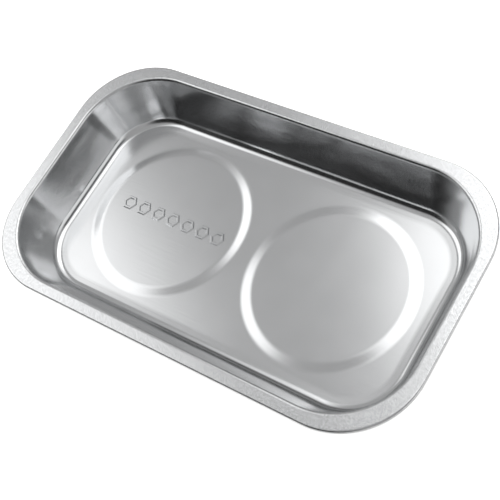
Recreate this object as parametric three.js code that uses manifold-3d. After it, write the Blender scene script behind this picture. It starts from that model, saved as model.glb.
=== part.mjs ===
// Magnetic parts tray: a pan pressed from one stainless sheet, with two raised round
// seats in its floor. A rubber-covered ring magnet is clamped under each seat by a
// dished plate, two washers and a thin nut on a stud welded to the pan.
//
// Millimetres. The origin is the centre of the base, on the surface the tray stands on.
// +X runs along the tray, +Y across it and +Z up.

import * as THREE from 'three';
import { mergeVertices } from 'three/addons/utils/BufferGeometryUtils.js';
import Module from 'manifold-3d';

// Pan, over its rim
const LENGTH = 240;
const WIDTH = 140;
const HEIGHT = 35;
const DEPTH = 25.6; // rim face down to the floor's upper face
const SHEET = 0.6;

// Pan, across its section
const LIP_DROP = 1.6; // turned-down edge, top to bottom
const LIP_BEND = 1.0; // radius on the upper face
const FLANGE_INSET = 5.2; // rim edge to where the sheet rolls over into the wall
const ROLL_RADIUS = 1.8;
const WALL_DRAFT = THREE.MathUtils.degToRad(21.5); // from vertical
const FILLET_RADIUS = 3.2; // wall into floor

// Pan, corner radii in plan
const RIM_CORNER = 39.5;
const FLANGE_CORNER = 41;
const FLOOR_CORNER = 25.5;
const CORNER_STEPS = 9;
const BEND_STEPS = 2; // each bend in the section is drawn with twice as many chords

// Raised seats
const SEAT_CENTRE_X = 48.5;
const SEAT_RISE = 0.6;
const SEAT_TOP_RADIUS = 39.2;
const SEAT_FOOT_RADIUS = 44;
const SEAT_OVERLAP = 0.5; // how far the pressed seat runs into the floor it joins
const ROUND_STEPS = 48;

// Magnet units
const GAP = 0.3; // left between pieces that meet
const MAGNET_RADIUS = 35;
const MAGNET_BORE = 16;
const MAGNET_THICKNESS = 6;
const COVER_RADIUS = 37.5;
const COVER_BASE = 1.5;
const COVER_EDGE = 1.2; // chamfer where the cover's side meets its base
const COVER_HOLE = 11;
const PLATE_RADIUS = 30;
const PLATE_THICKNESS = 1;
const DISH_MOUTH_RADIUS = 13.2;
const DISH_CROWN_RADIUS = 11.6;

// Fasteners, M6
const THREAD_RADIUS = 3;
const STUD_FOOT_RADIUS = 5;
const STUD_FOOT = 0.8;
const STUD_CHAMFER = 0.6;
const STUD_END_Z = 0.5;
const STUD_STEPS = 20;
const FLAT_WASHER = { radius: 6, thickness: 1.2 };
const SPRING_WASHER = { radius: 5.5, thickness: 1.4, split: 0.3 };
const NUT = { acrossFlats: 10, thickness: 3.2 };
const NUT_HOLE_STEPS = 12;

// Levels up the section
const FLOOR_Z = HEIGHT - DEPTH;
const SEAT_Z = FLOOR_Z + SEAT_RISE;
const SEAT_UNDERSIDE_Z = SEAT_Z - SHEET;
const MAGNET_TOP_Z = SEAT_UNDERSIDE_Z - GAP;
const MAGNET_BASE_Z = MAGNET_TOP_Z - MAGNET_THICKNESS;
const PLATE_Z = MAGNET_BASE_Z - GAP - PLATE_THICKNESS;
const CROWN_Z = MAGNET_TOP_Z - STUD_FOOT - GAP; // top of the plate's dish
const FLAT_WASHER_Z = CROWN_Z - PLATE_THICKNESS - GAP - FLAT_WASHER.thickness;
const SPRING_WASHER_Z = FLAT_WASHER_Z - GAP - SPRING_WASHER.thickness;
const NUT_Z = SPRING_WASHER_Z - GAP - NUT.thickness;

const wasm = await Module();
wasm.setup();

// Closed solid from a geometry whose faces share their corners.
function toSolid(geometry) {
  geometry.deleteAttribute('normal');
  geometry.deleteAttribute('uv');
  const merged = mergeVertices(geometry);
  const corners = merged.index.array;
  const faces = [];
  for (let i = 0; i < corners.length; i += 3) {
    const [a, b, c] = corners.slice(i, i + 3);
    if (a !== b && b !== c && c !== a) faces.push(a, b, c);
  }
  const vertProperties = new Float32Array(merged.attributes.position.array);
  return new wasm.Manifold(new wasm.Mesh({ numProp: 3, vertProperties, triVerts: new Uint32Array(faces) }));
}

// Geometry of a solid, ready for a mesh.
function fromSolid(solid) {
  const { vertProperties, triVerts } = solid.getMesh();
  const geometry = new THREE.BufferGeometry();
  geometry.setAttribute('position', new THREE.BufferAttribute(vertProperties, 3));
  geometry.setIndex(new THREE.BufferAttribute(triVerts, 1));
  geometry.computeVertexNormals();
  return geometry;
}

// Body of revolution about Z from [radius, z] corners, listed anticlockwise round the section.
function turned(corners, steps = ROUND_STEPS) {
  const section = corners.map(([radius, z]) => new THREE.Vector2(radius, z));
  return new THREE.LatheGeometry(section, steps).rotateX(Math.PI / 2);
}

// Flat ring with square edges, standing on z.
function ring(inner, outer, z, thickness) {
  const top = z + thickness;
  return turned([[inner, z], [outer, z], [outer, top], [inner, top], [inner, z]]);
}

// The sheet's section from the lip in to the floor, as [inset, z] points on the face that
// lies the given distance under the upper face.
function sheetFace(under) {
  const lip = new THREE.Vector2(LIP_BEND, HEIGHT - LIP_BEND);
  const roll = new THREE.Vector2(FLANGE_INSET, HEIGHT - ROLL_RADIUS);
  const wallNormal = new THREE.Vector2(Math.cos(WALL_DRAFT), Math.sin(WALL_DRAFT));
  const wallTop = roll.clone().addScaledVector(wallNormal, ROLL_RADIUS);
  const wallFootZ = FLOOR_Z + FILLET_RADIUS * (1 - wallNormal.y);
  const wallFootX = wallTop.x + (wallTop.y - wallFootZ) * Math.tan(WALL_DRAFT);
  const fillet = new THREE.Vector2(wallFootX + FILLET_RADIUS * wallNormal.x, FLOOR_Z + FILLET_RADIUS);

  const section = new THREE.Path();
  section.moveTo(under, HEIGHT - LIP_DROP);
  section.absarc(lip.x, lip.y, LIP_BEND - under, Math.PI, Math.PI / 2, true);
  section.absarc(roll.x, roll.y, ROLL_RADIUS - under, Math.PI / 2, WALL_DRAFT, true);
  section.absarc(fillet.x, fillet.y, FILLET_RADIUS + under, Math.PI + WALL_DRAFT, Math.PI * 1.5, false);
  return section.getPoints(BEND_STEPS);
}

// Plan corner radius of the upper face at an inset from the rim's edge.
function cornerRadius(inset, floorInset) {
  if (inset < FLANGE_INSET) return THREE.MathUtils.mapLinear(inset, 0, FLANGE_INSET, RIM_CORNER, FLANGE_CORNER);
  return THREE.MathUtils.mapLinear(inset, FLANGE_INSET, floorInset, FLANGE_CORNER, FLOOR_CORNER);
}

// One level loop of the pan, anticlockwise from above.
function planLoop(inset, radius, z) {
  const loop = [];
  for (let corner = 0; corner < 4; corner += 1) {
    const sideX = corner === 0 || corner === 3 ? 1 : -1;
    const sideY = corner < 2 ? 1 : -1;
    for (let step = 0; step <= CORNER_STEPS; step += 1) {
      const angle = (corner + step / CORNER_STEPS) * Math.PI / 2;
      const x = sideX * (LENGTH / 2 - inset - radius) + radius * Math.cos(angle);
      const y = sideY * (WIDTH / 2 - inset - radius) + radius * Math.sin(angle);
      loop.push(x, y, z);
    }
  }
  return loop;
}

// Pan without its seats: loops lofted down the underside, in under the lip and back over
// the upper face, closed by a fan on each face of the floor.
function panBlank() {
  const upper = sheetFace(0);
  const floorInset = upper[upper.length - 1].x;
  const upperLoops = upper.map((p) => planLoop(p.x, cornerRadius(p.x, floorInset), p.y));
  const underLoops = sheetFace(SHEET).map((p, i) => {
    const radius = cornerRadius(upper[i].x, floorInset) + upper[i].x - p.x;
    return planLoop(p.x, radius, p.y);
  });
  const loops = [...underLoops.reverse(), ...upperLoops];
  const count = loops[0].length / 3;
  const positions = loops.flat();
  const faces = [];
  for (let level = 0; level < loops.length - 1; level += 1) {
    for (let i = 0; i < count; i += 1) {
      const a = level * count + i;
      const b = level * count + (i + 1) % count;
      faces.push(a, b, b + count, a, b + count, a + count);
    }
  }
  const underHub = positions.length / 3;
  const upperHub = underHub + 1;
  positions.push(0, 0, FLOOR_Z - SHEET, 0, 0, FLOOR_Z);
  const last = (loops.length - 1) * count;
  for (let i = 0; i < count; i += 1) {
    const next = (i + 1) % count;
    faces.push(underHub, next, i, upperHub, last + i, last + next);
  }
  const geometry = new THREE.BufferGeometry();
  geometry.setAttribute('position', new THREE.Float32BufferAttribute(positions, 3));
  geometry.setIndex(faces);
  return toSolid(geometry);
}

// One raised seat, as a pressed disc of the same sheet.
function seat(x) {
  const under = FLOOR_Z - SHEET;
  const edge = SEAT_FOOT_RADIUS + SEAT_OVERLAP;
  const section = [
    [0, SEAT_UNDERSIDE_Z], [SEAT_TOP_RADIUS, SEAT_UNDERSIDE_Z], [SEAT_FOOT_RADIUS, under], [edge, under],
    [edge, FLOOR_Z], [SEAT_FOOT_RADIUS, FLOOR_Z], [SEAT_TOP_RADIUS, SEAT_Z], [0, SEAT_Z],
  ];
  return toSolid(turned(section).translate(x, 0, 0));
}

// Round hole through the floor that the seat fills.
function seatHole(x) {
  const section = [[0, 0], [SEAT_FOOT_RADIUS, 0], [SEAT_FOOT_RADIUS, SEAT_Z], [0, SEAT_Z]];
  return toSolid(turned(section).translate(x, 0, 0));
}

function trayPan() {
  let pan = panBlank();
  for (const x of [-SEAT_CENTRE_X, SEAT_CENTRE_X]) {
    pan = pan.subtract(seatHole(x)).add(seat(x));
  }
  return fromSolid(pan);
}

function rubberCover() {
  const wall = MAGNET_RADIUS + GAP;
  return turned([
    [COVER_HOLE, 0], [COVER_RADIUS - COVER_EDGE, 0], [COVER_RADIUS, COVER_EDGE], [COVER_RADIUS, MAGNET_TOP_Z],
    [wall, MAGNET_TOP_Z], [wall, COVER_BASE], [COVER_HOLE, COVER_BASE], [COVER_HOLE, 0],
  ]);
}

// Dished plate: its flange bears on the magnet and its crown stands up in the bore.
function clampPlate() {
  const hole = THREAD_RADIUS + GAP;
  const flangeTop = PLATE_Z + PLATE_THICKNESS;
  const crownUnder = CROWN_Z - PLATE_THICKNESS;
  return turned([
    [hole, crownUnder], [DISH_CROWN_RADIUS - PLATE_THICKNESS, crownUnder], [DISH_MOUTH_RADIUS, PLATE_Z],
    [PLATE_RADIUS, PLATE_Z], [PLATE_RADIUS, flangeTop], [DISH_MOUTH_RADIUS + PLATE_THICKNESS, flangeTop],
    [DISH_CROWN_RADIUS, CROWN_Z], [hole, CROWN_Z], [hole, crownUnder],
  ]);
}

function weldStud() {
  const footZ = MAGNET_TOP_Z - STUD_FOOT;
  return turned([
    [0, STUD_END_Z], [THREAD_RADIUS - STUD_CHAMFER, STUD_END_Z], [THREAD_RADIUS, STUD_END_Z + STUD_CHAMFER],
    [THREAD_RADIUS, footZ], [STUD_FOOT_RADIUS, footZ], [STUD_FOOT_RADIUS, MAGNET_TOP_Z], [0, MAGNET_TOP_Z],
  ], STUD_STEPS);
}

function springWasher() {
  const { radius, thickness, split } = SPRING_WASHER;
  const outline = new THREE.Shape();
  outline.absarc(0, 0, radius, split / 2, Math.PI * 2 - split / 2, false);
  outline.absarc(0, 0, THREAD_RADIUS + GAP, Math.PI * 2 - split / 2, split / 2, true);
  outline.closePath();
  const curveSegments = ROUND_STEPS / 4;
  return new THREE.ExtrudeGeometry(outline, { depth: thickness, bevelEnabled: false, curveSegments })
    .translate(0, 0, SPRING_WASHER_Z);
}

function hexNut() {
  const cornerDistance = NUT.acrossFlats / Math.sqrt(3);
  const outline = new THREE.Shape();
  for (let side = 0; side < 6; side += 1) {
    const angle = side * Math.PI / 3;
    const corner = [cornerDistance * Math.cos(angle), cornerDistance * Math.sin(angle)];
    if (side === 0) outline.moveTo(...corner);
    else outline.lineTo(...corner);
  }
  outline.closePath();
  const hole = new THREE.Path();
  hole.absarc(0, 0, THREAD_RADIUS + GAP, 0, Math.PI * 2, true);
  outline.holes.push(hole);
  const options = { depth: NUT.thickness, bevelEnabled: false, curveSegments: NUT_HOLE_STEPS };
  return new THREE.ExtrudeGeometry(outline, options).translate(0, 0, NUT_Z);
}

const FINISHES = {
  stainless: { color: 0xc9cacb, roughness: 0.28, metalness: 1 },
  zinc: { color: 0xb9bdbf, roughness: 0.35, metalness: 1 },
  ferrite: { color: 0x3a3a3c, roughness: 0.7, metalness: 0.2 },
  rubber: { color: 0x1c1c1d, roughness: 0.85, metalness: 0 },
};

function piece(name, geometry, finish) {
  const mesh = new THREE.Mesh(geometry, new THREE.MeshStandardMaterial(FINISHES[finish]));
  mesh.name = name;
  return mesh;
}

// Everything that hangs under one seat.
function magnetUnit(side, x) {
  const unit = new THREE.Group();
  unit.add(
    piece(`${side}_weld_stud`, weldStud(), 'zinc'),
    piece(`${side}_ring_magnet`, ring(MAGNET_BORE, MAGNET_RADIUS, MAGNET_BASE_Z, MAGNET_THICKNESS), 'ferrite'),
    piece(`${side}_rubber_cover`, rubberCover(), 'rubber'),
    piece(`${side}_clamp_plate`, clampPlate(), 'zinc'),
    piece(
      `${side}_flat_washer`,
      ring(THREAD_RADIUS + GAP, FLAT_WASHER.radius, FLAT_WASHER_Z, FLAT_WASHER.thickness),
      'zinc',
    ),
    piece(`${side}_spring_washer`, springWasher(), 'zinc'),
    piece(`${side}_hex_nut`, hexNut(), 'zinc'),
  );
  unit.position.x = x;
  return unit;
}

const tray = new THREE.Group();
tray.add(
  piece('tray_pan', trayPan(), 'stainless'),
  magnetUnit('left', -SEAT_CENTRE_X),
  magnetUnit('right', SEAT_CENTRE_X),
);

export default tray;
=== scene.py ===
"""Magnetic parts tray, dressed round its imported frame.

A pan pressed from one stainless sheet stands on two rubber-covered ring magnets. Each
magnet is clamped under a raised seat in the pan's floor by a dished plate, two washers
and a thin nut on a welded stud. Lengths are metres in the frame's own axes: +X along the
tray, +Y across it, +Z up, from the surface that the tray stands on.
"""

import logging
import math
from collections.abc import Mapping, Sequence
from dataclasses import dataclass, field
from enum import Enum

import bmesh
import bpy
from bpy.types import Material, Node, NodeSocket, NodeTree, Object
from mathutils import Matrix, Vector


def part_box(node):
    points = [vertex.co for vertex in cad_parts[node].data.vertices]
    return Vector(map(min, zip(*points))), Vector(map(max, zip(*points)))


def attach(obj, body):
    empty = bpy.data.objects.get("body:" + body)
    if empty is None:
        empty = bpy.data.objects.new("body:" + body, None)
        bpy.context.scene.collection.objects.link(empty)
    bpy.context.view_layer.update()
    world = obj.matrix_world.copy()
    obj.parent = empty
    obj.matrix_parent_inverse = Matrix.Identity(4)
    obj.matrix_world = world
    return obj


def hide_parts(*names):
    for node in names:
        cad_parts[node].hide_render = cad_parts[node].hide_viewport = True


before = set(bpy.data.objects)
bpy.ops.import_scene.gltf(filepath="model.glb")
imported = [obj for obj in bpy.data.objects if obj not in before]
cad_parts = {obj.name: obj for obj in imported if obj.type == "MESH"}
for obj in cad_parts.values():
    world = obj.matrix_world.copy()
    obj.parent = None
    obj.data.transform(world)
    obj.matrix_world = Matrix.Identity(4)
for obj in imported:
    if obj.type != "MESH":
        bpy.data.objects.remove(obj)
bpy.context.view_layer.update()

MM = 0.001
ORIGIN = Vector((0.0, 0.0, 0.0))
QUARTERS = ((1, 1), (-1, 1), (-1, -1), (1, -1))
LOOP_LAYER = "loop_number"
# Vertices nearer to each other than this are one.
WELD_DISTANCE = 0.001 * MM
# How far the holding points lie off an arc's ends, as a share of its tangent length.
HOLD_SHARE = 0.12
NOISE_ROUGHNESS = 0.55
SMOOTH_RAMP = {"interpolation_type": "SMOOTHSTEP"}
# The numbers of a Mix node's sockets for colours: the two inputs and the output.
COLOUR_A, COLOUR_B, COLOUR_RESULT = 6, 7, 2
LOG = logging.getLogger("parts_tray")


class Side(Enum):
    """Which of the two magnet units, by the name that its nodes begin with."""

    LEFT = "left"
    RIGHT = "right"


def seat_centre(side: Side) -> Vector:
    """Returns the point on the ground under a seat's centre."""
    low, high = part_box(f"{side.value}_rubber_cover")
    return Vector(((low.x + high.x) / 2, (low.y + high.y) / 2, 0.0))


@dataclass(frozen=True)
class Envelope:
    """The round space that a CAD node fills about its own upright axis.

    Args:
        radius: its outer radius.
        low: height of its underside.
        high: height of its top.
    """

    radius: float
    low: float
    high: float

    @classmethod
    def of(cls, piece: str) -> "Envelope":
        """Returns the envelope of a magnet unit's piece, which is the same on both sides."""
        low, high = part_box(f"{Side.LEFT.value}_{piece}")
        return cls((high.x - low.x) / 2, low.z, high.z)


def apply_modifier(obj: Object, kind: str, settings: Mapping[str, object]) -> None:
    """Adds a modifier, sets it and applies it.

    Args:
        obj: the object that it works on.
        kind: the modifier's type.
        settings: its properties by name.
    """
    modifier = obj.modifiers.new(kind.lower(), kind)
    for name, value in settings.items():
        setattr(modifier, name, value)
    bpy.context.view_layer.objects.active = obj
    bpy.ops.object.modifier_apply(modifier=modifier.name)


def copy_to(obj: Object, name: str, place: Vector) -> Object:
    """Copies a piece with its own mesh, and sets the copy's place in that mesh.

    Args:
        obj: the piece, modelled on the Z axis.
        name: the copy's name.
        place: how far the copy is moved.

    Returns:
        The copy, with its object at the origin.
    """
    bpy.ops.object.select_all(action="DESELECT")
    obj.select_set(True)
    bpy.context.view_layer.objects.active = obj
    bpy.ops.object.duplicate(linked=False)
    copy = bpy.context.object
    copy.name = name
    copy.data.name = name
    bpy.ops.transform.translate(value=place)
    bpy.ops.object.transform_apply(location=True, rotation=False, scale=False)
    return copy


# --- Sections and loops ---------------------------------------------------------------


@dataclass(frozen=True)
class Corner:
    """One corner of a section, and the radius that it is bent or rounded to.

    Args:
        across: distance across the section, an inset or a radius.
        up: height of the corner.
        bend: radius of the arc that replaces the corner, or zero to keep it sharp.
    """

    across: float
    up: float
    bend: float = 0.0


def bent_section(corners: Sequence[Corner], turn: float = math.radians(7.0)) -> list[Vector]:
    """Turns a section's corners into points, with an arc at each bend.

    Args:
        corners: the section's corners in order.
        turn: the most that one chord of an arc turns.

    Returns:
        Points as (across, up) vectors. A holding point just off each end of an arc keeps
        the straight stretch beside it evenly shaded.
    """
    points = [Vector((corners[0].across, corners[0].up))]
    for before, here, after in zip(corners, corners[1:], corners[2:]):
        corner = Vector((here.across, here.up))
        back = (Vector((before.across, before.up)) - corner).normalized()
        ahead = (Vector((after.across, after.up)) - corner).normalized()
        deflection = math.pi - back.angle(ahead)
        if here.bend == 0.0:
            points.append(corner)
            continue
        tangent = here.bend * math.tan(deflection / 2)
        centre = corner + (back + ahead).normalized() * math.hypot(tangent, here.bend)
        start = corner + back * tangent - centre
        end = corner + ahead * tangent - centre
        chords = max(2, math.ceil(deflection / turn))
        hold = HOLD_SHARE * tangent
        points.append(corner + back * (tangent + hold))
        for step in range(chords + 1):
            share = step / chords
            weight_start = math.sin((1 - share) * deflection) / math.sin(deflection)
            weight_end = math.sin(share * deflection) / math.sin(deflection)
            points.append(centre + start * weight_start + end * weight_end)
        points.append(corner + ahead * (tangent + hold))
    points.append(Vector((corners[-1].across, corners[-1].up)))
    return points


@dataclass(frozen=True)
class RoundRectangle:
    """A level rectangle with round corners, centred on the Z axis.

    Args:
        half_x: half its length along X.
        half_y: half its width along Y.
        corner: its corner radius.
        up: its height.
    """

    half_x: float
    half_y: float
    corner: float
    up: float

    def arc_centre(self, quarter: tuple[int, int]) -> Vector:
        """Returns the centre of the corner arc in a quarter of the plan."""
        return Vector((quarter[0] * (self.half_x - self.corner), quarter[1] * (self.half_y - self.corner)))


class Workpiece:
    """A mesh on the bench, shaped with edit-mode tools, with its place in its mesh."""

    def __init__(self, name: str) -> None:
        """Starts the piece empty and in edit mode.

        Args:
            name: the name of its object and mesh.
        """
        bpy.ops.object.select_all(action="DESELECT")
        bpy.ops.mesh.primitive_plane_add(size=MM)
        self.obj = bpy.context.object
        self.obj.name = name
        self.obj.data.name = name
        self._loops = 0
        bpy.ops.object.mode_set(mode="EDIT")
        bpy.ops.mesh.delete(type="VERT")

    def _mesh(self) -> tuple[bmesh.types.BMesh, bmesh.types.BMLayerItem]:
        """Finds the mesh in edit mode.

        Returns:
            The mesh and the layer that holds each vertex's loop number.
        """
        mesh = bmesh.from_edit_mesh(self.obj.data)
        layer = mesh.verts.layers.int.get(LOOP_LAYER) or mesh.verts.layers.int.new(LOOP_LAYER)
        return mesh, layer

    def _note_loop(self) -> int:
        """Marks the selected vertices as a new loop.

        Returns:
            The loop's number.
        """
        self._loops += 1
        mesh, layer = self._mesh()
        for vertex in mesh.verts:
            if vertex.select:
                vertex[layer] = self._loops
        return self._loops

    def add_rectangle(self, shape: RoundRectangle, steps: int) -> int:
        """Adds a level loop in the shape of a rectangle with round corners.

        Args:
            shape: its size, corner radius and height.
            steps: chords in each corner.

        Returns:
            The loop's number.
        """
        centre = (0.0, 0.0, shape.up)
        bpy.ops.mesh.primitive_plane_add(size=2.0, location=centre)
        bpy.ops.transform.resize(value=(shape.half_x, shape.half_y, 1.0), center_override=centre)
        bpy.ops.mesh.bevel(affect="VERTICES", offset=shape.corner, segments=steps, profile=0.5)
        number = self._note_loop()
        bpy.ops.mesh.delete(type="ONLY_FACE")
        self.select_loops(number)
        return number

    def extrude_rectangle(self, before: RoundRectangle, after: RoundRectangle) -> int:
        """Extrudes the selected loop into the next one, and sets each of its corners in turn.

        Args:
            before: the selected loop's shape.
            after: the new loop's shape.

        Returns:
            The new loop's number.
        """
        lift = (0.0, 0.0, after.up - before.up)
        bpy.ops.mesh.extrude_edges_move(TRANSFORM_OT_translate={"value": lift})
        number = self._note_loop()
        scale = after.corner / before.corner
        for quarter in QUARTERS:
            start, end = before.arc_centre(quarter), after.arc_centre(quarter)
            self.select_loops(number, quarter=quarter)
            bpy.ops.transform.resize(value=(scale, scale, 1.0), center_override=(start.x, start.y, after.up))
            bpy.ops.transform.translate(value=(end.x - start.x, end.y - start.y, 0.0))
        self.select_loops(number)
        return number

    def add_polygon(self, centre: Vector, radius: float, sides: int, turn: float = 0.0) -> int:
        """Adds a level loop in the shape of a regular polygon, or of a circle.

        Args:
            centre: its centre.
            radius: the distance from its centre to its corners.
            sides: how many sides it has.
            turn: how far it is turned about Z, in radians.

        Returns:
            The loop's number.
        """
        bpy.ops.mesh.primitive_circle_add(
            vertices=sides, radius=radius, location=centre, rotation=(0.0, 0.0, turn)
        )
        return self._note_loop()

    def extrude_loop(self, centre: Vector, scale: float, rise: float) -> int:
        """Extrudes the selected loop, and scales and lifts what was extruded.

        Args:
            centre: the point that it scales about.
            scale: its size over that of the loop before it.
            rise: how far it is lifted.

        Returns:
            The new loop's number.
        """
        bpy.ops.mesh.extrude_edges_move(TRANSFORM_OT_translate={"value": (0.0, 0.0, rise)})
        bpy.ops.transform.resize(value=(scale, scale, 1.0), center_override=centre)
        return self._note_loop()

    def extrude_along(self, centre: Vector, section: Sequence[Vector]) -> int:
        """Extrudes the selected circle from point to point of a section.

        Args:
            centre: a point on its axis, at height zero of the section.
            section: points as (radius, up), of which the first is the circle's own.

        Returns:
            The last loop's number.
        """
        for before, after in zip(section, section[1:]):
            number = self.extrude_loop(centre, after.x / before.x, after.y - before.y)
        return number

    def select_loops(self, *numbers: int, quarter: tuple[int, int] | None = None) -> None:
        """Selects loops by their numbers, and nothing else.

        Args:
            numbers: the loops.
            quarter: signs of X and Y, to take only what lies in that quarter of the plan.
        """
        mesh, layer = self._mesh()
        bpy.ops.mesh.select_all(action="DESELECT")
        for vertex in mesh.verts:
            if vertex[layer] not in numbers:
                continue
            if quarter is None or (vertex.co.x * quarter[0] > 0 and vertex.co.y * quarter[1] > 0):
                vertex.select = True
        mesh.select_flush(True)
        bmesh.update_edit_mesh(self.obj.data)

    def fill(self, *numbers: int) -> None:
        """Fills the level ground between loops.

        Args:
            numbers: the loops, or a single one to be filled inside.
        """
        self.select_loops(*numbers)
        if len(numbers) == 1:
            bpy.ops.mesh.edge_face_add()
        else:
            bpy.ops.mesh.fill(use_beauty=True)

    def close(self, sheet: bool = False, smooth_angle: float = math.radians(32.0)) -> Object:
        """Merges doubles, turns the faces out and leaves edit mode.

        Args:
            sheet: the piece is an open sheet, whose faces are to look up.
            smooth_angle: edges that turn by more than this stay crisp.

        Returns:
            The finished object.
        """
        bpy.ops.mesh.select_all(action="SELECT")
        bpy.ops.mesh.remove_doubles(threshold=WELD_DISTANCE)
        bpy.ops.mesh.normals_make_consistent(inside=False)
        faces = bmesh.from_edit_mesh(self.obj.data).faces
        if sheet and sum(face.normal.z * face.calc_area() for face in faces) < 0:
            bpy.ops.mesh.flip_normals()
        bpy.ops.object.mode_set(mode="OBJECT")
        if LOOP_LAYER in self.obj.data.attributes:
            self.obj.data.attributes.remove(self.obj.data.attributes[LOOP_LAYER])
        bpy.ops.object.shade_smooth_by_angle(angle=smooth_angle)
        return self.obj


# --- The pan --------------------------------------------------------------------------


@dataclass(frozen=True)
class NutStamp:
    """A row of plain hexagon outlines embossed across the left seat, for the nuts it holds.

    Each outline is a flat strip between two slopes, raised out of the seat's top.
    """

    count: int = 7
    pitch: float = 9.6 * MM
    corner_radius: float = 4.35 * MM
    strip: float = 1.0 * MM
    slope: float = 0.5 * MM
    relief: float = 0.6 * MM
    offset: Vector = Vector((1.5 * MM, 0.0, 0.0))

    def press(self, work: Workpiece, centre: Vector, up: float) -> list[int]:
        """Extrudes the outlines out of the seat's top and closes the ground inside them.

        Args:
            work: the pan on the bench.
            centre: the seat's centre.
            up: height of the seat's top.

        Returns:
            The numbers of the outlines' outer loops.
        """
        outer_loops = []
        for place in range(self.count):
            along = (place - (self.count - 1) / 2) * self.pitch
            hub = Vector((centre.x + along, centre.y, up)) + self.offset
            outer_loops.append(work.add_polygon(hub, self.corner_radius, 6, turn=math.pi / 6))
            radius = self.corner_radius
            ground = outer_loops[-1]
            for step_in, rise in ((self.slope, self.relief), (self.strip, 0.0), (self.slope, -self.relief)):
                ground = work.extrude_loop(hub, (radius - step_in) / radius, rise)
                radius -= step_in
            work.fill(ground)
        return outer_loops


@dataclass
class TrayPan:
    """The pressed sheet: lip, flange, walls, floor and the two raised seats."""

    sheet: float = 0.6 * MM
    depth: float = 25.6 * MM
    lip_drop: float = 1.6 * MM
    lip_bend: float = 0.8 * MM
    flange_width: float = 5.2 * MM
    roll_bend: float = 1.8 * MM
    wall_draft: float = math.radians(21.5)
    fillet_bend: float = 4.8 * MM
    edge_rise: float = 0.2 * MM
    edge_width: float = 6.4 * MM
    edge_bend: float = 50.0 * MM
    level_margin: float = 1.4 * MM
    rim_corner: float = 39.5 * MM
    flange_corner: float = 41.0 * MM
    floor_corner: float = 25.5 * MM
    corner_steps: int = 28
    seat_rise: float = 0.6 * MM
    seat_top_radius: float = 39.2 * MM
    seat_foot_radius: float = 44.0 * MM
    seat_bend: float = 18.0 * MM
    seat_turn: float = math.radians(1.5)
    seat_margin: float = 1.5 * MM
    seat_land: float = 2.0 * MM
    seat_steps: int = 128
    stamp: NutStamp = field(default_factory=NutStamp)
    high: Vector = field(default_factory=lambda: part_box("tray_pan")[1])

    @property
    def floor_up(self) -> float:
        """Height of the floor's upper face."""
        return self.high.z - self.depth

    @property
    def bend_tangent(self) -> float:
        """Tangent length, over its radius, of a bend between the wall and level metal."""
        return math.tan((math.pi / 2 - self.wall_draft) / 2)

    @property
    def roll_at(self) -> float:
        """Inset at which the flange would meet the wall."""
        return self.flange_width + self.roll_bend * self.bend_tangent

    @property
    def foot_at(self) -> float:
        """Inset at which the wall would meet the floor's rising edge."""
        return self.roll_at + (self.depth - self.edge_rise) * math.tan(self.wall_draft)

    @property
    def floor_inset(self) -> float:
        """Inset at which the fillet under the wall ends."""
        return self.foot_at + self.fillet_bend * self.bend_tangent

    def section(self) -> list[Vector]:
        """Bends the upper face's section.

        Returns:
            Points as (inset from the rim's edge, height).
        """
        top = self.high.z
        level_at = self.foot_at + self.edge_width
        return bent_section([
            Corner(0.0, top - self.lip_drop),
            Corner(0.0, top, self.lip_bend),
            Corner(self.roll_at, top, self.roll_bend),
            Corner(self.foot_at, self.floor_up + self.edge_rise, self.fillet_bend),
            Corner(level_at, self.floor_up, self.edge_bend),
            Corner(level_at + self.level_margin, self.floor_up),
        ])

    def plan_corner(self, inset: float) -> float:
        """Finds the plan's corner radius.

        Args:
            inset: distance in from the rim's edge.

        Returns:
            The radius there.
        """
        if inset < self.flange_width:
            share = inset / self.flange_width
            return self.rim_corner + share * (self.flange_corner - self.rim_corner)
        if inset > self.floor_inset:
            return self.floor_corner + self.floor_inset - inset
        share = (inset - self.flange_width) / (self.floor_inset - self.flange_width)
        return self.flange_corner + share * (self.floor_corner - self.flange_corner)

    def build(self) -> Object:
        """Lofts the pan from loops, presses the seats and thickens the sheet.

        Returns:
            The finished pan.
        """
        work = Workpiece("pressed_pan")
        shapes = [
            RoundRectangle(self.high.x - point.x, self.high.y - point.x, self.plan_corner(point.x), point.y)
            for point in self.section()
        ]
        floor_edge = work.add_rectangle(shapes[0], self.corner_steps)
        for outer, inner in zip(shapes, shapes[1:]):
            floor_edge = work.extrude_rectangle(outer, inner)
        rings = [self._press_seat(work, side) for side in Side]
        work.fill(floor_edge, *rings)
        pan = work.close(sheet=True)
        gauge = {"thickness": self.sheet, "offset": -1.0, "use_even_offset": True}
        apply_modifier(pan, "SOLIDIFY", gauge)
        return pan

    def _press_seat(self, work: Workpiece, side: Side) -> int:
        """Extrudes one raised seat and closes its top, with the stamp on the left one.

        Args:
            work: the pan on the bench.
            side: which seat.

        Returns:
            The number of the seat's outermost loop, on the floor.
        """
        centre = seat_centre(side)
        edge = self.seat_foot_radius + self.seat_margin
        section = bent_section([
            Corner(edge, 0.0),
            Corner(self.seat_foot_radius, 0.0, self.seat_bend),
            Corner(self.seat_top_radius, self.seat_rise, self.seat_bend),
            Corner(self.seat_top_radius - self.seat_land, self.seat_rise),
        ], turn=self.seat_turn)
        hub = Vector((centre.x, centre.y, self.floor_up))
        ring = work.add_polygon(hub, edge, self.seat_steps)
        top = work.extrude_along(hub, section)
        top_up = self.floor_up + section[-1].y
        marks = self.stamp.press(work, centre, top_up) if side is Side.LEFT else []
        work.fill(top, *marks)
        return ring


# --- The magnet units -----------------------------------------------------------------


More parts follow.
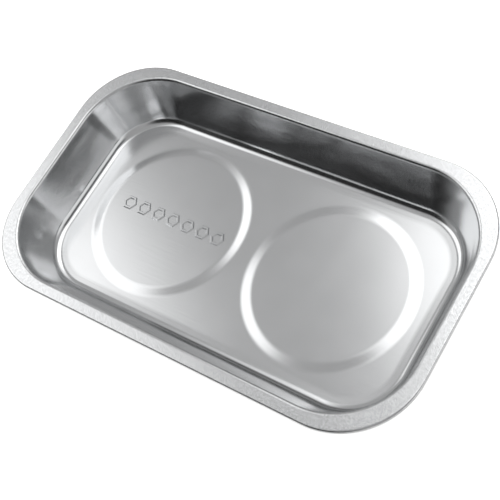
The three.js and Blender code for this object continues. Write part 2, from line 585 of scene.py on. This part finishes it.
@dataclass
class MagnetUnit:
    """What hangs under a seat, modelled once on the Z axis and copied to both sides.

    The outer sizes and the heights are those of the frame's own nodes. An edge or a bend
    is a radius, and a turn is the most that one chord of such an arc turns.
    """

    round_steps: int = 120
    edge_turn: float = math.radians(15.0)
    bore_radius: float = 3.3 * MM
    magnet_bore: float = 16.0 * MM
    cover_hole: float = 11.0 * MM
    cover_base: float = 1.5 * MM
    cover_wall: float = 2.2 * MM
    cover_edge: float = 1.5 * MM
    tread_radii: tuple[float, ...] = (15.0 * MM, 20.0 * MM, 25.0 * MM, 30.0 * MM)
    tread_width: float = 0.9 * MM
    tread_depth: float = 0.4 * MM
    tread_lip: float = 0.15 * MM
    tread_root: float = 0.12 * MM
    moulded_edge: float = 0.4 * MM
    moulded_bend: float = 0.5 * MM
    mouth_edge: float = 0.3 * MM
    sintered_edge: float = 0.6 * MM
    blanked_edge: float = 0.2 * MM
    plate: float = 1.0 * MM
    plate_edge: float = 0.25 * MM
    dish_mouth: float = 13.2 * MM
    dish_crown: float = 11.6 * MM
    dish_inside: float = 0.6 * MM
    dish_outside: float = 1.6 * MM
    drilled_edge: float = 0.15 * MM
    turned_edge: float = 0.2 * MM
    thread_radius: float = 3.0 * MM
    thread_pitch: float = 1.0 * MM
    thread_depth: float = 0.55 * MM
    thread_flank: float = 0.42 * MM
    thread_land: float = 0.12 * MM
    thread_start: float = 0.3 * MM
    stud_chamfer: float = 0.1 * MM
    stud_foot: float = 0.8 * MM
    stud_steps: int = 48
    stud_turn: float = math.radians(20.0)
    wire_edge: float = 0.2 * MM
    wire_segments: int = 3
    split: float = 0.3 * MM
    nut_chamfer: float = math.radians(30.0)
    nut_face_inset: float = 0.1 * MM
    nut_thread_depth: float = 0.3 * MM
    nut_mouth: float = 0.05 * MM
    nut_blank_spare: float = 0.4 * MM
    nut_bar_spare: float = 1.0 * MM
    nut_crisp_angle: float = math.radians(25.0)

    def build(self) -> dict[str, Object]:
        """Models every piece.

        Returns:
            The pieces by the ends of their nodes' names.
        """
        makers = (
            self.rubber_cover, self.ring_magnet, self.clamp_plate, self.weld_stud,
            self.flat_washer, self.spring_washer, self.hex_nut,
        )
        return {make.__name__: make(Envelope.of(make.__name__)) for make in makers}

    def _turned(self, name: str, corners: Sequence[Corner]) -> Object:
        """Turns a closed section about the Z axis.

        Args:
            name: the piece's name.
            corners: the section, listed from a point on a straight side, where it also ends.

        Returns:
            The piece.
        """
        work = Workpiece(name)
        section = bent_section([*corners, corners[0]], turn=self.edge_turn)
        work.add_polygon(Vector((0.0, 0.0, section[0].y)), section[0].x, self.round_steps)
        work.extrude_along(ORIGIN, section)
        return work.close()

    def rubber_cover(self, space: Envelope) -> Object:
        """Moulded cup with a round edge and four shallow tread rings in its base.

        Args:
            space: what its node fills.

        Returns:
            The cover.
        """
        hole, base = self.cover_hole, space.low + self.cover_base
        inner = space.radius - self.cover_wall
        groove_up = space.low + self.tread_depth
        corners = [Corner(hole, (space.low + base) / 2), Corner(hole, space.low, self.moulded_edge)]
        for radius in self.tread_radii:
            near, far = radius - self.tread_width / 2, radius + self.tread_width / 2
            corners += [
                Corner(near, space.low, self.tread_lip),
                Corner(near, groove_up, self.tread_root),
                Corner(far, groove_up, self.tread_root),
                Corner(far, space.low, self.tread_lip),
            ]
        corners += [
            Corner(space.radius, space.low, self.cover_edge),
            Corner(space.radius, space.high, self.moulded_bend),
            Corner(inner, space.high, self.mouth_edge),
            Corner(inner, base, self.moulded_bend),
            Corner(hole, base, self.moulded_edge),
        ]
        return self._turned("rubber_cover", corners)

    def _ring(self, name: str, bore: float, space: Envelope, edge: float) -> Object:
        """Turns a flat ring with round edges.

        Args:
            name: the piece's name.
            bore: radius of its bore.
            space: what its node fills.
            edge: radius of its edges.

        Returns:
            The ring.
        """
        middle = (space.low + space.high) / 2
        return self._turned(name, [
            Corner(bore, middle),
            Corner(bore, space.low, edge),
            Corner(space.radius, space.low, edge),
            Corner(space.radius, space.high, edge),
            Corner(bore, space.high, edge),
        ])

    def ring_magnet(self, space: Envelope) -> Object:
        """Sintered ring with its edges broken."""
        return self._ring("ring_magnet", self.magnet_bore, space, self.sintered_edge)

    def flat_washer(self, space: Envelope) -> Object:
        """Blanked washer, its edges rounded by tumbling."""
        return self._ring("flat_washer", self.bore_radius, space, self.blanked_edge)

    def clamp_plate(self, space: Envelope) -> Object:
        """Pressed plate: flange, cone and crown of one thickness, with bent corners.

        Args:
            space: what its node fills.

        Returns:
            The plate.
        """
        bore, low, high, sheet = self.bore_radius, space.low, space.high, self.plate
        return self._turned("clamp_plate", [
            Corner(bore, high - sheet / 2),
            Corner(bore, high - sheet, self.drilled_edge),
            Corner(self.dish_crown - sheet, high - sheet, self.dish_inside),
            Corner(self.dish_mouth, low, self.dish_outside),
            Corner(space.radius, low, self.plate_edge),
            Corner(space.radius, low + sheet, self.plate_edge),
            Corner(self.dish_mouth + sheet, low + sheet, self.dish_inside),
            Corner(self.dish_crown, high, self.dish_outside),
            Corner(bore, high, self.drilled_edge),
        ])

    def weld_stud(self, space: Envelope) -> Object:
        """Stud with a broad welded foot and a chamfered end, its thread drawn as rings.

        Args:
            space: what its node fills.

        Returns:
            The stud.
        """
        foot_low = space.high - self.stud_foot
        crest, root = self.thread_radius, self.thread_radius - self.thread_depth
        pitch, chamfer = self.thread_pitch, self.stud_chamfer
        thread_low = space.low + self.thread_start
        flank, land = self.thread_flank, self.thread_land
        corners = [Corner(root, space.low), Corner(root + chamfer, space.low + chamfer)]
        for turn in range(math.floor((foot_low - thread_low) / pitch)):
            up = thread_low + turn * pitch
            corners += [
                Corner(root, up),
                Corner(crest, up + flank),
                Corner(crest, up + flank + land),
                Corner(root, up + flank + land + flank),
            ]
        corners += [
            Corner(root, foot_low, self.turned_edge),
            Corner(space.radius, foot_low, self.turned_edge),
            Corner(space.radius, space.high, self.drilled_edge),
            Corner(0.0, space.high),
        ]
        *section, _ = bent_section(corners, turn=self.stud_turn)
        work = Workpiece("weld_stud")
        end = work.add_polygon(Vector((0.0, 0.0, space.low)), section[0].x, self.stud_steps)
        work.fill(end)
        work.select_loops(end)
        foot = work.extrude_along(ORIGIN, section)
        work.fill(foot)
        return work.close()

    def spring_washer(self, space: Envelope) -> Object:
        """Square wire wound into one level turn, with its split left open.

        Args:
            space: what its node fills.

        Returns:
            The washer.
        """
        work = Workpiece("spring_washer")
        half_width = (space.radius - self.bore_radius) / 2
        half_height = (space.high - space.low) / 2
        middle = Vector((self.bore_radius + half_width, 0.0, (space.low + space.high) / 2))
        bpy.ops.mesh.primitive_plane_add(size=2.0, location=middle, rotation=(math.pi / 2, 0.0, 0.0))
        bpy.ops.transform.resize(value=(half_width, 1.0, half_height), center_override=middle)
        bpy.ops.mesh.bevel(affect="VERTICES", offset=self.wire_edge, segments=self.wire_segments, profile=0.5)
        gap = self.split / self.bore_radius
        bpy.ops.mesh.spin(
            steps=self.round_steps, angle=2 * math.pi - gap, center=(0.0, 0.0, 0.0), axis=(0.0, 0.0, 1.0)
        )
        return work.close()

    def hex_nut(self, space: Envelope) -> Object:
        """Thin nut: a hexagon bar cut by a turned blank that has the chamfers and the thread.

        Args:
            space: what its node fills.

        Returns:
            The nut.
        """
        height = space.high - space.low
        corner_radius = space.radius
        chamfer_radius = corner_radius * math.cos(math.pi / 6) - self.nut_face_inset
        crest, pitch = self.bore_radius, self.thread_pitch
        root = crest + self.nut_thread_depth
        mouth = root + self.nut_mouth
        outer = corner_radius + self.nut_blank_spare
        drop = (outer - chamfer_radius) * math.tan(self.nut_chamfer)
        middle = (space.low + space.high) / 2
        corners = [
            Corner(mouth, space.low),
            Corner(chamfer_radius, space.low),
            Corner(outer, space.low + drop),
            Corner(outer, space.high - drop),
            Corner(chamfer_radius, space.high),
            Corner(mouth, space.high),
        ]
        teeth = math.floor(height / pitch)
        start = space.high - (height - teeth * pitch) / 2
        for tooth in range(teeth):
            up = start - tooth * pitch
            corners += [Corner(root, up), Corner(crest, up - pitch / 2)]
        corners.append(Corner(root, start - teeth * pitch))
        blank = self._turned("hex_nut", corners)
        bpy.ops.object.select_all(action="DESELECT")
        bpy.ops.mesh.primitive_cylinder_add(
            vertices=6, radius=corner_radius, depth=height + self.nut_bar_spare,
            location=(0.0, 0.0, middle), rotation=(0.0, 0.0, math.pi / 6),
        )
        bar = bpy.context.object
        apply_modifier(blank, "BOOLEAN", {"operation": "INTERSECT", "object": bar, "solver": "EXACT"})
        bpy.data.objects.remove(bar)
        bpy.ops.object.select_all(action="DESELECT")
        blank.select_set(True)
        bpy.context.view_layer.objects.active = blank
        bpy.ops.object.shade_smooth_by_angle(angle=self.nut_crisp_angle)
        return blank


# --- Finishes -------------------------------------------------------------------------

Source = Node | NodeSocket


def colour(code: str) -> tuple[float, float, float, float]:
    """Turns a colour to linear light.

    Args:
        code: the colour as sRGB hex.

    Returns:
        Linear red, green, blue and alpha.
    """
    channels = [int(code[place:place + 2], 16) / 255 for place in (1, 3, 5)]
    linear = [c / 12.92 if c <= 0.04045 else ((c + 0.055) / 1.055) ** 2.4 for c in channels]
    return (*linear, 1.0)


def add_node(
    tree: NodeTree,
    kind: str,
    settings: Mapping[str | int, object] | None = None,
    links: Mapping[str | int, Source] | None = None,
) -> Node:
    """Adds a node to a tree, sets it and links its inputs.

    Args:
        tree: the node tree.
        kind: the node's type.
        settings: values for its properties or input sockets, by name, or by number for a socket.
        links: what feeds its inputs, by their names or numbers: an output, or a node, whose
            first output is taken.

    Returns:
        The node.
    """
    node = tree.nodes.new(kind)
    for name, value in (settings or {}).items():
        if isinstance(name, str) and hasattr(node, name):
            setattr(node, name, value)
        else:
            node.inputs[name].default_value = value
    for name, source in (links or {}).items():
        output = source.outputs[0] if isinstance(source, Node) else source
        tree.links.new(output, node.inputs[name])
    return node


def start_material(name: str) -> tuple[Material, NodeTree, NodeSocket]:
    """Starts an empty material.

    Args:
        name: the material's name.

    Returns:
        The material, its tree and the Object coordinates that its patterns read.
    """
    material = bpy.data.materials.new(name)
    material.use_nodes = True
    tree = material.node_tree
    tree.nodes.clear()
    place = add_node(tree, "ShaderNodeTexCoord").outputs["Object"]
    return material, tree, place


def finish_material(
    tree: NodeTree, settings: Mapping[str, object], links: Mapping[str, Source]
) -> None:
    """Adds the surface shader with its settings and links, and the output."""
    shader = add_node(tree, "ShaderNodeBsdfPrincipled", settings, links)
    add_node(tree, "ShaderNodeOutputMaterial", links={"Surface": shader})


def grain(
    tree: NodeTree, place: NodeSocket, size: float, detail: float = 2.0,
    stretch: tuple[float, float, float] = (1.0, 1.0, 1.0),
) -> Node:
    """Adds a noise whose spots are of a real size.

    Args:
        tree: the material's tree.
        place: the coordinates, in metres.
        size: the spots' size.
        detail: octaves of finer noise.
        stretch: how many times longer the spots are along each axis.

    Returns:
        The noise, whose first output is between zero and one.
    """
    scale = tuple(1.0 / (size * factor) for factor in stretch)
    mapping = add_node(tree, "ShaderNodeMapping", {"Scale": scale}, {"Vector": place})
    settings = {"Scale": 1.0, "Detail": detail, "Roughness": NOISE_ROUGHNESS}
    return add_node(tree, "ShaderNodeTexNoise", settings, {"Vector": mapping})


@dataclass(frozen=True)
class PressedStainless:
    """Bright annealed stainless sheet, pressed in a polished die.

    The walls are bright, and drawing has made them wavy. The floor is a little duller, with
    hardly visible rolling lines, and the flange is dulled by a fine grain and mottled where
    the press pad has rubbed it. The mottling is drawn somewhat coarser than it is, so that
    it shows. A strength is a pair: how much of a relief shows off the wall or the flange,
    and how much on it.
    """

    name: str = "Pressed stainless steel"
    tone: str = "#D6D7D8"
    rubbed_tone: str = "#DCDDDE"
    pressed_tone: str = "#D0D1D2"
    floor_roughness: float = 0.16
    wall_roughness: float = 0.13
    flange_roughness: float = 0.22
    cloud_roughness: float = 0.04
    cloud: float = 14.0 * MM
    pad_mottle: float = 1.4 * MM
    mottle_range: tuple[float, float] = (0.3, 0.7)
    pad_grain: float = 0.7 * MM
    pad_relief: float = 0.05 * MM
    pad_strength: tuple[float, float] = (0.0, 0.8)
    rolling_line: float = 0.5 * MM
    rolling_stretch: tuple[float, float, float] = (40.0, 1.0, 40.0)
    rolling_relief: float = 0.05 * MM
    rolling_strength: tuple[float, float] = (0.12, 0.0)
    draw_wave: float = 16.0 * MM
    draw_stretch: tuple[float, float, float] = (2.6, 2.6, 0.8)
    draw_relief: float = 0.4 * MM
    draw_strength: tuple[float, float] = (0.1, 0.6)
    pad_low: float = 2.4 * MM
    pad_high: float = 0.5 * MM
    wall_low: float = 1.2 * MM
    wall_high: float = 4.0 * MM

    def material(self, pan: TrayPan) -> Material:
        """Makes the material, with its zones at the pan's own heights.

        Args:
            pan: the pan that it covers.

        Returns:
            The material.
        """
        material, tree, place = start_material(self.name)
        height = add_node(tree, "ShaderNodeSeparateXYZ", links={"Vector": place}).outputs["Z"]
        rim, floor = pan.high.z, pan.floor_up
        pressed = {**SMOOTH_RAMP, "From Min": rim - self.pad_low, "From Max": rim - self.pad_high}
        on_flange = add_node(tree, "ShaderNodeMapRange", pressed, {"Value": height})
        drawn = {**SMOOTH_RAMP, "From Min": floor + self.wall_low, "From Max": floor + self.wall_high}
        on_wall = add_node(tree, "ShaderNodeMapRange", drawn, {"Value": height})

        satin = {"A": self.floor_roughness, "B": self.wall_roughness}
        lower = add_node(tree, "ShaderNodeMix", satin, {"Factor": on_wall})
        dulled = {"B": self.flange_roughness}
        even = add_node(tree, "ShaderNodeMix", dulled, {"Factor": on_flange, "A": lower})
        clouded = {"operation": "MULTIPLY_ADD", 1: self.cloud_roughness}
        cloud = grain(tree, place, self.cloud, detail=3.0)
        roughness = add_node(tree, "ShaderNodeMath", clouded, {0: cloud, 2: even})

        spots = grain(tree, place, self.pad_mottle, detail=3.0)
        low, high = self.mottle_range
        ramp = {**SMOOTH_RAMP, "From Min": low, "From Max": high}
        mottle = add_node(tree, "ShaderNodeMapRange", ramp, {"Value": spots})
        tones = {COLOUR_A: colour(self.rubbed_tone), COLOUR_B: colour(self.pressed_tone)}
        rubbed = add_node(tree, "ShaderNodeMix", {"data_type": "RGBA", **tones}, {0: mottle})
        even_tone = {"data_type": "RGBA", COLOUR_A: colour(self.tone)}
        on_pad = {0: on_flange, COLOUR_B: rubbed.outputs[COLOUR_RESULT]}
        tone = add_node(tree, "ShaderNodeMix", even_tone, on_pad).outputs[COLOUR_RESULT]

        lines = grain(tree, place, self.rolling_line, detail=1.0, stretch=self.rolling_stretch)
        waves = grain(tree, place, self.draw_wave, detail=1.0, stretch=self.draw_stretch)
        pits = grain(tree, place, self.pad_grain, detail=3.0)
        reliefs = (
            (lines, self.rolling_relief, on_wall, self.rolling_strength),
            (waves, self.draw_relief, on_wall, self.draw_strength),
            (pits, self.pad_relief, on_flange, self.pad_strength),
        )
        surface = {}
        for pattern, depth, zone, (off, on) in reliefs:
            share = add_node(tree, "ShaderNodeMix", {"A": off, "B": on}, {"Factor": zone})
            links = {"Height": pattern, "Strength": share, **surface}
            surface = {"Normal": add_node(tree, "ShaderNodeBump", {"Distance": depth}, links)}
        finish_material(tree, {"Metallic": 1.0}, {"Base Color": tone, "Roughness": roughness, **surface})
        return material


@dataclass(frozen=True)
class MottledFinish:
    """A finish of two tones that run into each other in spots, with a fine relief.

    Args:
        name: the material's name.
        tone: its main colour.
        spot_tone: the colour of its spots.
        spot: the spots' size.
        spot_range: values of the noise between which main turns to spot.
        relief: size of the relief's grain.
        relief_depth: its depth.
        relief_strength: how much of it shows.
        roughness: roughness of the main colour and of the spots, where it isn't even.
        stretch: how many times longer the grain is along each axis.
        detail: octaves of finer grain.
        shader: what is even all over, by the shader's socket names.
    """

    name: str
    tone: str
    spot_tone: str
    spot: float
    spot_range: tuple[float, float]
    relief: float
    relief_depth: float
    relief_strength: float
    roughness: tuple[float, float] | None = None
    stretch: tuple[float, float, float] = (1.0, 1.0, 1.0)
    detail: float = 2.0
    shader: Mapping[str, float] = field(default_factory=dict)

    def material(self) -> Material:
        """Makes the material.

        Returns:
            The material.
        """
        material, tree, place = start_material(self.name)
        low, high = self.spot_range
        ramp = {**SMOOTH_RAMP, "From Min": low, "From Max": high}
        noise = grain(tree, place, self.spot, detail=4.0)
        spots = add_node(tree, "ShaderNodeMapRange", ramp, {"Value": noise})
        tones = {COLOUR_A: colour(self.tone), COLOUR_B: colour(self.spot_tone)}
        mixed = add_node(tree, "ShaderNodeMix", {"data_type": "RGBA", **tones}, {0: spots})
        tone = mixed.outputs[COLOUR_RESULT]
        pattern = grain(tree, place, self.relief, detail=self.detail, stretch=self.stretch)
        depth = {"Strength": self.relief_strength, "Distance": self.relief_depth}
        surface = {"Base Color": tone, "Normal": add_node(tree, "ShaderNodeBump", depth, {"Height": pattern})}
        if self.roughness:
            smooth, dull = self.roughness
            levels = {"A": smooth, "B": dull}
            surface["Roughness"] = add_node(tree, "ShaderNodeMix", levels, {"Factor": spots})
        finish_material(tree, self.shader, surface)
        return material


# Bright zinc plate on steel: clear metal with a faint blue haze, and the fine marks of the
# plating barrel, which lie mostly one way.
ZINC_PLATE = MottledFinish(
    name="Zinc-plated steel", tone="#BFC4C8", spot_tone="#A9AFB5", spot=2.4 * MM, spot_range=(0.35, 0.7),
    roughness=(0.25, 0.44), relief=0.35 * MM, relief_depth=0.03 * MM, relief_strength=0.25,
    stretch=(1.0, 3.0, 1.0), detail=3.0, shader={"Metallic": 1.0},
)

# Moulded black nitrile rubber: matt, with the fine spark grain of its mould and a grey bloom.
MOULDED_RUBBER = MottledFinish(
    name="Moulded black rubber", tone="#1B1B1C", spot_tone="#2A2A2B", spot=16.0 * MM, spot_range=(0.35, 0.75),
    roughness=(0.72, 0.84), relief=0.45 * MM, relief_depth=0.16 * MM, relief_strength=0.7,
    shader={"IOR": 1.52, "Specular IOR Level": 0.4},
)

# Ground strontium ferrite: charcoal and dull, with paler flecks in the grain of the powder.
SINTERED_FERRITE = MottledFinish(
    name="Sintered ferrite", tone="#37373A", spot_tone="#4A4A4D", spot=0.6 * MM, spot_range=(0.45, 0.75),
    relief=0.6 * MM, relief_depth=0.08 * MM, relief_strength=0.5, detail=4.0,
    shader={"Metallic": 0.25, "Roughness": 0.58},
)


# --- The studio -----------------------------------------------------------------------


def heading(azimuth: float, elevation: float) -> Vector:
    """Returns the direction at an azimuth, from +Y towards -X, and an elevation, in degrees."""
    turn, climb = math.radians(azimuth), math.radians(elevation)
    return Vector((-math.sin(turn) * math.cos(climb), math.cos(turn) * math.cos(climb), math.sin(climb)))


@dataclass(frozen=True)
class Panel:
    """A soft round light near the table, or with a negative strength a black flag.

    Args:
        name: what it is.
        azimuth: its direction from +Y towards -X, in degrees.
        elevation: its height above the horizon, in degrees.
        reach: half the angle that it fills, in degrees.
        edge: how far its edge fades on each side, in degrees.
        strength: the light that it adds.
    """

    name: str
    azimuth: float
    elevation: float
    reach: float
    edge: float
    strength: float


@dataclass(frozen=True)
class Studio:
    """White table in a light tent, with soft panels and flags, and the camera above the near corner.

    The table glows a little, as if lit from below, and more where it is looked at directly.
    """

    tent: float = 0.55
    darkest: float = 0.01
    table_radius: float = 3.0
    table_sides: int = 64
    table_tone: str = "#F7F7F6"
    table_roughness: float = 0.6
    table_glow: float = 0.6
    table_bounce: float = 0.25
    backdrop: float = 1.1
    panels: tuple[Panel, ...] = (
        Panel("back right", 0.0, 60.0, 22.5, 2.0, 1.7),
        Panel("back low", 12.0, 40.0, 18.0, 4.0, 0.9),
        Panel("left", 92.0, 45.0, 17.5, 3.0, 1.5),
        Panel("right", -74.0, 14.0, 24.0, 8.0, 0.7),
        Panel("right flag", -74.0, 50.0, 11.0, 4.0, -0.45),
        Panel("camera flag", 168.0, 28.0, 30.0, 11.0, -0.52),
        Panel("corner flag", 130.0, 45.0, 10.0, 4.0, -0.35),
    )
    lens: float = 76.8
    clip_start: float = 10.0 * MM
    target: Vector = Vector((15.6 * MM, -7.1 * MM, 35.0 * MM))
    azimuth: float = 59.5
    elevation: float = 56.7
    roll: float = -32.1
    distance: float = 499.7 * MM

    def light(self) -> None:
        """Builds the tent and its panels as one world."""
        world = bpy.data.worlds.new("light tent")
        bpy.context.scene.world = world
        world.use_nodes = True
        tree = world.node_tree
        tree.nodes.clear()
        look = add_node(tree, "ShaderNodeTexCoord").outputs["Generated"]
        total = None
        for panel in self.panels:
            towards = {"operation": "DOT_PRODUCT", 1: heading(panel.azimuth, panel.elevation)}
            facing = add_node(tree, "ShaderNodeVectorMath", towards, {0: look})
            outer = math.cos(math.radians(panel.reach + panel.edge))
            inner = math.cos(math.radians(panel.reach - panel.edge))
            edge = {**SMOOTH_RAMP, "label": panel.name, "From Min": outer, "From Max": inner}
            share = add_node(tree, "ShaderNodeMapRange", edge, {"Value": facing.outputs["Value"]})
            adding = {"operation": "MULTIPLY_ADD", 1: panel.strength, 2: self.tent}
            links = {0: share} if total is None else {0: share, 2: total}
            total = add_node(tree, "ShaderNodeMath", adding, links)
        level = add_node(tree, "ShaderNodeMath", {"operation": "MAXIMUM", 1: self.darkest}, {0: total})
        tent = add_node(tree, "ShaderNodeBackground", links={"Strength": level})
        backdrop = {"Color": colour(self.table_tone), "Strength": self.backdrop}
        plain = add_node(tree, "ShaderNodeBackground", backdrop)
        seen = add_node(tree, "ShaderNodeLightPath").outputs["Is Camera Ray"]
        mixed = add_node(tree, "ShaderNodeMixShader", links={0: seen, 1: tent, 2: plain})
        add_node(tree, "ShaderNodeOutputWorld", links={"Surface": mixed})

    def lay_table(self) -> Object:
        """Lays the pale table top that the tray stands on.

        Returns:
            The table top.
        """
        bpy.ops.object.select_all(action="DESELECT")
        bpy.ops.mesh.primitive_circle_add(
            vertices=self.table_sides, radius=self.table_radius, fill_type="NGON"
        )
        table = bpy.context.object
        table.name = "table_top"
        material, tree, _ = start_material("White acrylic table")
        seen = add_node(tree, "ShaderNodeLightPath").outputs["Is Camera Ray"]
        lighting = {"operation": "MULTIPLY_ADD", 1: self.table_glow, 2: self.table_bounce}
        glow = add_node(tree, "ShaderNodeMath", lighting, {0: seen})
        tone = colour(self.table_tone)
        settings = {"Base Color": tone, "Roughness": self.table_roughness, "Emission Color": tone}
        finish_material(tree, settings, {"Emission Strength": glow})
        table.data.materials.append(material)
        return table

    def place_camera(self) -> Object:
        """Sets the camera over the tray's near corner, turned so that the tray lies slanting.

        Returns:
            The camera.
        """
        roll = math.radians(self.roll)
        back = heading(self.azimuth + 180.0, self.elevation)
        level = (-back).cross(Vector((0.0, 0.0, 1.0))).normalized()
        over = level.cross(-back)
        right = math.cos(roll) * level + math.sin(roll) * over
        up = math.cos(roll) * over - math.sin(roll) * level
        data = bpy.data.cameras.new("camera")
        data.lens = self.lens
        data.clip_start = self.clip_start
        camera = bpy.data.objects.new("camera", data)
        bpy.context.collection.objects.link(camera)
        turned = Matrix((right, up, back)).transposed()
        camera.matrix_world = Matrix.Translation(self.target + back * self.distance) @ turned.to_4x4()
        bpy.context.scene.camera = camera
        return camera


# --- Assembly -------------------------------------------------------------------------


def dress(obj: Object, node: str, material: Material) -> None:
    """Puts a piece in its node's place, with its material.

    Args:
        obj: the finished piece.
        node: the CAD node that it stands for.
        material: its material.
    """
    obj.data.materials.clear()
    obj.data.materials.append(material)
    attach(obj, "root")
    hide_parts(node)
    LOG.info("%s stands for %s: %d faces", obj.name, node, len(obj.data.polygons))


def main() -> None:
    """Builds the studio, the pan and both magnet units."""
    logging.basicConfig(level=logging.INFO, format="%(name)s: %(message)s")
    studio = Studio()
    studio.place_camera()
    studio.light()
    studio.lay_table()
    bpy.context.scene.view_settings.view_transform = "Standard"

    pan = TrayPan()
    dress(pan.build(), "tray_pan", PressedStainless().material(pan))

    zinc = ("zinc_plated_steel", ZINC_PLATE.material())
    finishes = {
        "rubber_cover": ("black_rubber", MOULDED_RUBBER.material()),
        "ring_magnet": ("ferrite", SINTERED_FERRITE.material()),
    }
    for name, model in MagnetUnit().build().items():
        slot, material = finishes.get(name, zinc)
        for side in Side:
            node = f"{side.value}_{name}"
            dress(copy_to(model, f"{side.value}_fine_{name}", seat_centre(side)), node, material)
        bpy.data.objects.remove(model)


if __name__ == "__main__":
    main()
